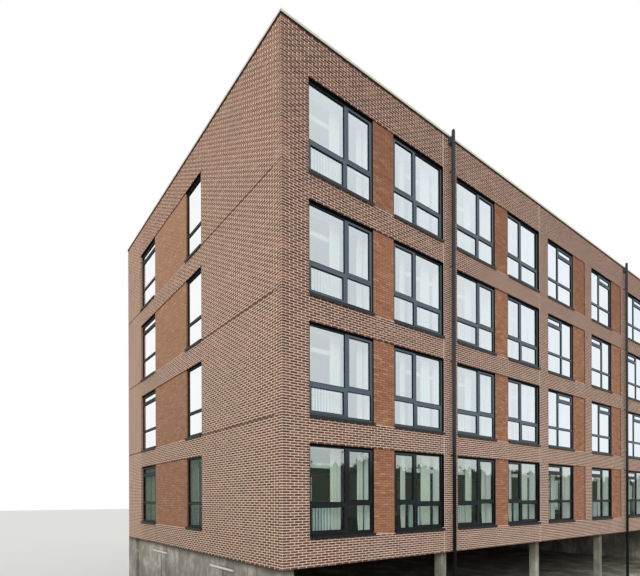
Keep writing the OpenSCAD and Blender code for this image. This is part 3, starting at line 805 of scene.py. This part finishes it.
def glass_material():
    """Coated float glass: it lets the room be seen head on, and mirrors more the flatter it is seen. What it
    mirrors is painted into its colour as a painted reflection: pale sky with soft clouds, darker on the
    ground storey, and a dark hedge low down on the ground storey, up to a ragged edge that is higher in the
    end walls; below that edge it mirrors less."""
    kit = settings("block_glazing")
    material, tree, place, parts = fresh_material("coated_float_glass")
    ragged = node(tree, "TexNoise", place, Scale=scale_for(700), Detail=9, Roughness=0.78)
    outward = node(tree, "absolute", parts[0])
    end = node(tree, "greater_than", outward, HALF_LENGTH - INNER_FACE)
    # The painted hedge reflection's edge: its height above the sill, how far it is ragged, and how much
    # higher it is in the end walls
    foot, rise, end_rise = 0.95, 1.9, 0.7
    edge = node(tree, "multiply_add", ragged, rise, GROUND_SILL + foot)
    edge = node(tree, "multiply_add", end, end_rise, edge)
    above = node(tree, "subtract", parts[2], edge)
    above_hedge = node(tree, "MapRange", above, 0.0, 40 * MM)
    # Painted reflections: pale sky with soft clouds, darker on the ground storey, and a dark ragged hedge
    # below the edge
    pale = mixed_towards(tree, kit.sky_reflection_tint, end, 1.0, kit.end_reflection_tint)
    pale = clouded(tree, place, pale, 2500, 0.4, hex_rgb("#dbe6ee"))
    low = node(tree, "MapRange", parts[2], GROUND_SILL + PANE_REFLECTION_TOP, GROUND_SILL + PANE_REFLECTION_FOOT)
    pale = mixed_towards(tree, pale, low, 1.0, kit.low_reflection_tint)
    dark = mixed_towards(tree, kit.hedge_reflection_tint, ragged, 1.0, hex_rgb("#384038"))
    tint = mixed_towards(tree, dark, above_hedge, 1.0, pale)
    # The coating's IOR, how much more the panes mirror at a slant, how strong the painted hedge reflection
    # mirrors at least, and how much more in the end walls
    ior, gain, least, end_gain = 1.6, 3.9, 0.4, 0.45
    slant = node(tree, "Fresnel", ior)
    share = node(tree, "multiply_add", slant, gain, kit.mirror)
    share = node(tree, "minimum", share, 1.0)
    least = node(tree, "multiply_add", end, end_gain, least)
    strength = node(tree, "maximum", above_hedge, least)
    share = node(tree, "multiply", share, strength)
    rays = node(tree, "LightPath").node.outputs
    unseen = node(tree, "maximum", rays["Is Shadow Ray"], rays["Is Diffuse Ray"])
    inside = node(tree, "NewGeometry", out="Backfacing")
    unseen = node(tree, "maximum", unseen, inside)
    seen = node(tree, "subtract", 1.0, unseen)
    share = node(tree, "multiply", share, seen)
    clear = node(tree, "BsdfTransparent", hex_rgb("#f1f8f7"))
    mirror = node(tree, "BsdfGlossy", tint, 0.02)
    node(tree, "OutputMaterial", node(tree, "MixShader", share, clear, mirror))
    return material


def cloth_material(name, shade, stripe=None):
    """Woven curtain cloth: matt, soft and finely woven. Net has an open stripe 40 mm wide in every 100 mm."""
    material, tree, place, parts = fresh_material(name)
    if stripe:
        pitch, open_width = 100 * MM, 40 * MM
        along = node(tree, "add", parts[0], parts[1])
        step = node(tree, "pingpong", along, pitch / 2)
        open_weave = node(tree, "less_than", step, open_width / 2)
        shade = mixed_towards(tree, shade, open_weave, 1.0, stripe)
    tone = clouded(tree, place, shade, 300, 0.1, hex_rgb("#c9c7bc"), 3)
    # Threads 0.5 mm apart, drawn at 1.5 mm
    weave = node(tree, "TexNoise", place, Scale=scale_for(1.5), Detail=1)
    return surfaced(material, tone, weave, 0.3, Roughness=0.9, Sheen_Weight=0.2)


# Pieces

class BLOCK_OT_brickwork(bpy.types.Operator):
    """Lays the facing brick of the four walls, course by course, in front of raked mortar"""
    bl_idname = "block.brickwork"
    bl_label = "Brickwork"

    def lay(self, wall):
        """Lays a wall's bands and piers, each course from movement joint to movement joint."""
        kit = settings("block_brickwork")
        bond = Bond(wall, 0.0, kit.bed, LEAF)
        last = half_module(wall.extent + kit.joint)
        cuts = [half_module(u) for u in joint_places(wall)]
        stacks = [(0, last, z[0], z[1] - z[0], 1, 0.0) for _, _, z in wall.solids(wall.side + "_brick_bands")]
        for u0, u1, *heights in columns(wall, wall.side + "_brick_piers"):
            start = 0 if u0 < LEAF + AT_END else half_module(u0)
            end = last if u1 > wall.extent - LEAF - AT_END else half_module(u1 + kit.joint)
            stacks.append((start, end, *heights))
        for start, end, *heights in stacks:
            inner = [cut for cut in cuts if start < cut < end]
            for a, b in zip([start] + inner, inner + [end]):
                bond.field(a, b, *heights, self.trims(wall, int(a == 0), int(b == last)))
        return bond.done(wall.side + "_bricks")

    def trims(self, wall, near, far):
        """The long walls own every second brick at the near corner and all of them at the far one."""
        return ((0, 0), (near, 0)) if wall is LONG else ((near, far), (0, far))

    def lay_mortar(self, wall, behind, corners):
        """Mortar behind a wall's bricks, in from the corners by a measure where it is given."""
        lap = behind / 2
        pieces = []
        for u, _, z in wall.solids(wall.side + "_brick_bands"):
            across = (u[0] + corners, u[1] - corners)
            pieces.append(wall.box("mortar", across, (behind, LEAF), (z[0] + lap, z[1] - lap)))
        for u, _, z in wall.solids(wall.side + "_brick_piers"):
            start = u[0] + (corners if u[0] < MM and corners else lap)
            end = u[1] - (corners if u[1] > wall.extent - MM and corners else lap)
            pieces.append(wall.box("mortar", (start, end), (behind, LEAF), (z[0] - behind, z[1] + behind)))
        return joined(wall.side + "_mortar", pieces)

    def execute(self, context):
        kit = settings("block_brickwork")
        for axis, bricks in enumerate([self.lay(wall) for wall in WALLS]):
            on_both_walls(bricks, facing_brick(axis), ("brick_bands", "brick_piers"))
        mortar = mortar_material("raked_lime_mortar", kit.mortar, hex_rgb("#dfc8b4"))
        on_both_walls(self.lay_mortar(LONG, kit.rake, kit.end_rake), mortar)
        # The end walls' mortar, painted darker low down as painted shade
        mortar = mortar_material(
            "washed_lime_mortar", hex_rgb("#eedac3"), hex_rgb("#d6bfa8"), kit.low_mortar)
        on_both_walls(self.lay_mortar(END, kit.end_rake, 0.0), mortar)
        return {"FINISHED"}


class BLOCK_OT_panels(bpy.types.Operator):
    """Lays the warm brick panels between the windows"""
    bl_idname = "block.panels"
    bl_label = "Warm brick panels"

    def lay(self, wall):
        """The bricks and the mortar of a wall's panels."""
        kit = settings("block_brickwork")
        panels = wall.side + "_brick_panels"
        _, (face, back), _ = wall.solids(panels)[0]
        behind = face + kit.panel_rake
        bond = Bond(wall, face, kit.panel_bed, back)
        mortar = []
        for u0, u1, foot, tall, count, step in columns(wall, panels):
            bond.field(half_module(u0), half_module(u1 + kit.joint), foot, tall, count, step)
            bed = wall.box("mortar", (u0 + MM, u1 - MM), (behind, back), (foot, foot + tall))
            choose([bed])
            repeated(bed, (0, 0, step), count)
            mortar.append(bed)
        return bond.done(wall.side + "_panel_bricks"), joined(wall.side + "_panel_mortar", mortar)

    def execute(self, context):
        kit = settings("block_brickwork")
        bed = mortar_material("orange_tinted_mortar", kit.panel_mortar, hex_rgb("#4e3225"))
        for wall in WALLS:
            bricks, mortar = self.lay(wall)
            on_both_walls(bricks, panel_brick(wall.axis), ["brick_panels"])
            on_both_walls(mortar, bed)
        return {"FINISHED"}


class BLOCK_OT_glazing(bpy.types.Operator):
    """Finishes frames, sills and panes, lines the openings, and sets gaskets round the panes"""
    bl_idname = "block.glazing"
    bl_label = "Windows"

    def linings(self, wall):
        """Dark sheet on the head of each opening, in front of the frame, and in a long wall on its jambs.
        Being near black, it is partly a real lining and partly painted shade in the openings.
        """
        kit = settings("block_glazing")
        thick = kit.lining_thickness
        edges, recess = set(), 0.0
        for u, depth, _ in wall.solids(wall.side + "_brick_panels"):
            edges.update(round(end, 2) for end in u)
            recess = depth[0]
        pieces = []
        for u, depth, z in wall.solids(wall.side + "_windows"):
            front = depth[0] + kit.lining_lap
            pieces.append(wall.box("lining", u, (2 * thick, front), (z[1] - thick, z[1])))
            # Painted shade: the head's lining turns down over the frame's head
            turned_down = (z[1] - kit.downstand, z[1] - thick)
            pieces.append(wall.box("lining", u, (front - 2 * thick, front - thick), turned_down))
            jambs = ((u[0], u[0] + thick, u[0]), (u[1] - thick, u[1], u[1])) if wall is LONG else ()
            for a, b, end in jambs:
                near = recess if any(abs(end - edge) < SAME_EDGE for edge in edges) else 0.0
                tall = (z[0] + kit.lining_foot, z[1] - thick)
                pieces.append(wall.box("lining", (a, b), (near + 2 * thick, front), tall))
        return joined(wall.side + "_opening_linings", pieces)

    def gaskets(self, wall, panes):
        """A short rubber tube inside the outline of each pane, from the glass to the frame's face. It is
        wider than a real gasket, so that its dark also stands in for the shade in the rebates as painted
        shade.
        """
        kit = settings("block_glazing")
        deselect()
        bpy.ops.mesh.primitive_plane_add(size=0.1)
        piece = bpy.context.object
        piece.name = piece.data.name = wall.side + "_gaskets"
        edit_mode()
        bpy.ops.mesh.select_all(action="SELECT")
        bpy.ops.mesh.delete(type="VERT")
        for u, depth, z in wall.solids(panes):
            if depth[1] > INNER_FACE:
                continue
            centre = wall.point(sum(u) / 2, depth[0] - MM / 2, sum(z) / 2)
            wide, tall = u[1] - u[0], z[1] - z[0]
            bpy.ops.mesh.primitive_plane_add(size=1, location=centre, rotation=wall.turn)
            size = (1, wide, tall) if wall is END else (wide, 1, tall)
            bpy.ops.transform.resize(value=size, center_override=centre)
        bpy.ops.mesh.select_all(action="SELECT")
        bpy.ops.mesh.inset(thickness=kit.gasket_width, use_individual=True)
        bpy.ops.mesh.delete(type="FACE")
        bpy.ops.mesh.select_all(action="SELECT")
        bpy.ops.mesh.extrude_region_move(TRANSFORM_OT_translate={"value": wall.inward * -kit.gasket_depth})
        object_mode()
        return piece

    def execute(self, context):
        kit = settings("block_glazing")
        # Frames and sills are painted darker on the ground storey and in the end walls, as painted shade
        coat = powder_coat("anthracite_powder_coat", kit.frame, 0.5, dusty=0.04,
                           painted_low_shade=kit.painted_shade_frame, gloss=0.15)
        sill = powder_coat("sill_powder_coat", kit.sill, 0.5, dusty=0.04,
                           painted_low_shade=hex_rgb("#0c1012"), gloss=0.2)
        paint(coat, "front_windows", "back_windows", "left_windows", "right_windows")
        paint(sill, "front_sills", "back_sills", "end_sills")
        paint(glass_material(), "front_glass", "back_glass", "end_glass")
        # The linings' near-black sheet, partly painted shade in the openings
        dark = powder_coat("dark_lining_sheet", kit.lining, 0.8, dusty=0.0, gloss=0.1)
        rubber = rubber_material("glazing_rubber", kit.gasket)
        for wall, panes in ((LONG, "front_glass"), (END, "end_glass")):
            on_both_walls(self.linings(wall), dark)
            on_both_walls(self.gaskets(wall, panes), rubber)
        return {"FINISHED"}


# Spans of the net and the two cream curtains of an opening, as shares of its width, where its wide light
# comes first and where it comes last
WIDE_FIRST = ((0, 0.42), (0.42, 0.6), (0.9, 1))
WIDE_LAST = ((0.44, 0.72), (0.72, 0.94), (0.28, 0.38))
PELMET_SHARE = 0.55
# How far the curtains stay from the jambs, in folds
JAMB_GAP = 0.2


class BLOCK_OT_curtains(bpy.types.Operator):
    """Hangs striped net and cream curtains in the reveals, and a white pelmet board behind them"""
    bl_idname = "block.curtains"
    bl_label = "Curtains"

    def drawn(self, wall):
        """Spans of curtains that are drawn over the whole of each opening, in folds."""
        fold = settings("block_glazing").fold
        return [(math.ceil(u0 / fold + JAMB_GAP), math.floor(u1 / fold - JAMB_GAP))
                for u0, u1 in openings(wall)]

    def spans(self, wall):
        """Net and cream spans of each opening, in folds. The wide light comes first in every second one."""
        net, cream = [], []
        for i, (a, b) in enumerate(self.drawn(wall)):
            shares = WIDE_LAST if i % 2 else WIDE_FIRST
            net_span, *cream_spans = [[a + round(share * (b - a)) for share in pair] for pair in shares]
            net.append(net_span)
            cream += cream_spans
        return net, cream

    def cloth(self, wall, spans, foot, drop, name):
        """Curtains gathered in folds, over spans given in folds along the wall."""
        kit = settings("block_glazing")
        fold = kit.fold
        depth = INNER_FACE - kit.curtain_off
        pieces = []
        for a, b in spans:
            deselect()
            centre = wall.point((a + b) / 2 * fold, depth, foot + drop / 2)
            bpy.ops.mesh.primitive_grid_add(
                x_subdivisions=b - a, y_subdivisions=1, size=1, location=centre, rotation=wall.turn)
            bpy.context.object.scale = ((b - a) * fold, drop, 1)
            pieces.append(bpy.context.object)
        piece = joined(name, pieces)
        select_where(piece, "VERT", lambda corner: (
            round((corner.co - wall.start).dot(wall.along) / fold) % 2 == 1))
        bpy.ops.transform.translate(value=wall.inward * kit.fold_depth)
        object_mode()
        smooth = piece.modifiers.new("Soft folds", "SUBSURF")
        smooth.levels = smooth.render_levels = 1
        bpy.ops.object.modifier_apply(modifier=smooth.name)
        bpy.ops.object.shade_smooth()
        return piece

    def hang(self, piece, rail, material, drop):
        finish(piece, material)

    def rails(self, wall, floor, net_top, name):
        """Rails from jamb to jamb over creams and nets, and the pelmet board on the wall's inner face."""
        kit = settings("block_glazing")
        hung = INNER_FACE - kit.curtain_off
        depth = (hung - kit.rail_edge, hung + kit.fold_depth + kit.rail_edge)
        boxes = []
        for i, (u0, u1) in enumerate(openings(wall)):
            for top in (kit.cream_top, net_top):
                boxes.append(wall.box("rail", (u0, u1), depth, (floor + top, floor + top + kit.rail_height)))
            wide = PELMET_SHARE * (u1 - u0)
            across = (u0 - kit.pelmet_lap, u0 + wide) if i % 2 == 0 else (u1 - wide, u1 + kit.pelmet_lap)
            foot = floor + kit.pelmet_foot
            behind = (INNER_FACE, INNER_FACE + kit.pelmet_depth)
            boxes.append(wall.box("pelmet", across, behind, (foot, foot + kit.pelmet_height)))
        return joined(name, boxes)

    def execute(self, context):
        kit = settings("block_glazing")
        net_cloth = cloth_material("striped_net", kit.sheer, kit.stripe)
        cream_cloth = cloth_material("cream_curtain", kit.cream)
        lacquer = powder_coat("white_lacquer", kit.rail, 0.4)
        for wall in WALLS:
            side, other = wall.side, OPPOSITE[wall.side]
            net, cream = self.spans(wall)
            for storey, floor in enumerate(FLOORS, 1):
                foot = floor + kit.curtain_foot
                net_top = kit.low_net_top if storey == 1 else kit.net_top
                rail = self.rails(wall, floor, net_top, f"{side}_curtain_rails_{storey}")
                far_rail = turned_round(rail, f"{other}_curtain_rails_{storey}")
                for piece in (rail, far_rail):
                    finish(piece, lacquer)
                for kind, spans, top, cloth in (
                        ("net", net, net_top, net_cloth), ("cream", cream, kit.cream_top, cream_cloth)):
                    drop = top + kit.rail_lap - kit.curtain_foot
                    near = self.cloth(wall, spans, foot, drop, f"{side}_{kind}_curtains_{storey}")
                    far_name = f"{other}_{kind}_curtains_{storey}"
                    if (side, kind, storey) == ("front", "cream", 1):
                        drawn = self.cloth(wall, self.drawn(wall), foot, drop, "drawn")
                        far = turned_round(drawn, far_name)
                        bpy.data.objects.remove(drawn)
                    else:
                        far = turned_round(near, far_name)
                    self.hang(near, rail, cloth, drop)
                    self.hang(far, far_rail, cloth, drop)
        return {"FINISHED"}


class BLOCK_OT_structure(bpy.types.Operator):
    """Finishes the concrete, the inner leaves, the roof and the metalwork"""
    bl_idname = "block.structure"
    bl_label = "Structure and roof"

    def execute(self, context):
        kit = settings("block_structure")
        concrete = concrete_material(
            "board_marked_concrete", kit.concrete, hex_rgb("#aaa69b"), hex_rgb("#6b675d"))
        paint(concrete, "base_slab", "parking_left_wall", "parking_right_wall", "parking_back_wall",
              "parking_columns", "deck_slab")
        paint(plaster_material(), "floor_slab_2", "floor_slab_3", "floor_slab_4", "roof_slab",
              "front_inner_wall", "back_inner_wall", "left_inner_wall", "right_inner_wall",
              "front_inner_piers", "back_inner_piers", "end_inner_piers")
        paint(rubber_material("roofing_felt", kit.membrane), "roof_covering")
        paint(powder_coat("folded_sheet_coping", kit.coping, 0.5), "roof_coping")
        # The downpipes are painted darker low down, as painted shade
        pipe = powder_coat(
            "downpipe_sheet", kit.pipe, 0.6, dusty=0.02, painted_low_shade=hex_rgb("#060707"), gloss=0.08)
        paint(pipe, "downpipes", "pipe_brackets")
        paint(powder_coat("outlet_sheet", hex_rgb("#2b2e30"), 0.5), "roof_outlets")
        paint(sealant_material(kit.sealant, kit.corner_sealant, kit.slot), "movement_joints")
        paint(powder_coat("silver_tube", hex_rgb("#b9bcbb"), 0.35), "wall_lights")
        paint(powder_coat("grey_conduit", hex_rgb("#66635b"), 0.5), "light_conduits")
        self.coping_trim()
        self.felt()
        return {"FINISHED"}

    def coping_trim(self):
        """A dark strip on the brick under the coping's lip, which stands in for the lip's shadow: painted
        shadow.
        """
        kit = settings("block_structure")
        lip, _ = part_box("roof_coping")
        proud = -lip.y - HALF_WIDTH
        z = (lip.z - kit.shadow_strip_height, lip.z)
        near = joined("coping_trim", [
            wall.box("trim", (-proud / 2, wall.extent + proud / 2), (-proud / 2, 0), z) for wall in WALLS])
        trim = joined("coping_trim", [near, turned_round(near, "coping_trim_far")])
        finish(trim, rubber_material("edge_strip", hex_rgb("#26231f")))

    def felt(self):
        """Rolls of felt lapped over each other on the roof, and turned up behind the parapet."""
        kit = settings("block_structure")
        low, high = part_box("roof_covering")
        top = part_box("roof_coping")[1].z - kit.upstand_gap
        count = math.ceil((high.x - low.x) / kit.felt_width)
        far = (low.x + kit.felt_width + kit.felt_lap, high.y, high.z + kit.felt_thickness)
        roll = box_piece("felt", (low.x, low.y, high.z), far)
        choose([roll])
        repeated(roll, (kit.felt_width, 0, 0), count - 1)
        pieces = [roll]
        thick = kit.upstand
        for a, b in (
                ((low.x, low.y), (high.x, low.y + thick)), ((low.x, high.y - thick), (high.x, high.y)),
                ((low.x, low.y), (low.x + thick, high.y)), ((high.x - thick, low.y), (high.x, high.y))):
            pieces.append(box_piece("felt", (*a, high.z), (*b, top)))
        felt = rubber_material("slated_felt", kit.membrane)
        finish(joined("roof_felt", pieces), felt)


class BLOCK_OT_stage(bpy.types.Operator):
    """Sets the camera, the soft lamps, the pale floor and the white surroundings"""
    bl_idname = "block.stage"
    bl_label = "Camera and stage"

    def placed(self, name, data):
        """An object for a camera's or a lamp's data."""
        item = bpy.data.objects.new(name, data)
        bpy.context.collection.objects.link(item)
        return item

    def camera(self, kit):
        data = bpy.data.cameras.new("camera")
        data.lens, data.sensor_width = kit.lens, 36.0
        data.shift_x, data.shift_y = kit.shift
        data.clip_end = kit.floor_size
        item = self.placed("camera", data)
        item.location = kit.camera_place
        item.rotation_mode = "XYZ"
        heading, roll = kit.camera_heading, kit.camera_roll
        ahead = Vector((math.cos(heading), math.sin(heading), 0))
        right = Vector((math.sin(heading), -math.cos(heading), 0))
        up = Vector((0, 0, 1))
        side = right * math.cos(roll) + up * math.sin(roll)
        top = up * math.cos(roll) - right * math.sin(roll)
        item.rotation_euler = Matrix((side, top, -ahead)).transposed().to_euler("XYZ")
        bpy.context.scene.camera = item

    def lamps(self, kit):
        data = bpy.data.lights.new("key", "SUN")
        data.energy, data.angle = kit.sun, kit.sun_angle
        item = self.placed("key", data)
        item.rotation_euler = Vector(kit.sun_course).to_track_quat("-Z", "Y").to_euler()

    def surroundings(self, kit):
        world = bpy.data.worlds.new("studio")
        bpy.context.scene.world = world
        world.use_nodes = True
        tree = world.node_tree
        tree.nodes.clear()
        rays = node(tree, "LightPath").node.outputs
        seen = node(tree, "maximum", rays["Is Camera Ray"], rays["Is Glossy Ray"])
        seen = node(tree, "maximum", seen, rays["Is Transmission Ray"])
        soft = node(tree, "Background", (1, 1, 1), kit.fill)
        white = node(tree, "Background", (1, 1, 1), 1.0)
        node(tree, "OutputWorld", node(tree, "MixShader", seen, soft, white))

    def floor(self, kit):
        deselect()
        bpy.ops.mesh.primitive_plane_add(size=kit.floor_size, location=(0, 0, -2 * MM))
        item = bpy.context.object
        item.name = "studio_floor"
        material, tree, place, _ = fresh_material("pale_screed")
        grain = node(tree, "TexNoise", place, Scale=scale_for(10))
        surfaced(material, kit.floor, grain, 0.1, Roughness=0.9)
        item.data.materials.append(material)

    def execute(self, context):
        kit = settings("block_stage")
        self.camera(kit)
        self.lamps(kit)
        self.surroundings(kit)
        self.floor(kit)
        bpy.context.scene.view_settings.view_transform = "Standard"
        return {"FINISHED"}


OPERATORS = (
    BLOCK_OT_stage,
    BLOCK_OT_brickwork,
    BLOCK_OT_panels,
    BLOCK_OT_glazing,
    BLOCK_OT_curtains,
    BLOCK_OT_structure,
)


class BLOCK_PT_sidebar(bpy.types.Panel):
    """Lists the steps that dress the apartment block"""
    bl_idname = "BLOCK_PT_sidebar"
    bl_label = "Apartment Block"
    bl_space_type = "VIEW_3D"
    bl_region_type = "UI"
    bl_category = "Apartment Block"

    def draw(self, context):
        for step in OPERATORS:
            self.layout.operator(step.bl_idname)
        for name in SETTINGS:
            group = getattr(context.scene, name)
            for key in group.__annotations__:
                self.layout.prop(group, key)


def register():
    for name, kind in SETTINGS.items():
        bpy.utils.register_class(kind)
        setattr(bpy.types.Scene, name, PointerProperty(type=kind))
    for kind in (*OPERATORS, BLOCK_PT_sidebar):
        bpy.utils.register_class(kind)


def unregister():
    for kind in (BLOCK_PT_sidebar, *reversed(OPERATORS)):
        bpy.utils.unregister_class(kind)
    for name, kind in SETTINGS.items():
        delattr(bpy.types.Scene, name)
        bpy.utils.unregister_class(kind)


def main():
    register()
    bpy.ops.block.stage()
    bpy.ops.block.brickwork()
    bpy.ops.block.panels()
    bpy.ops.block.glazing()
    bpy.ops.block.curtains()
    bpy.ops.block.structure()


if __name__ == "__main__":
    main()
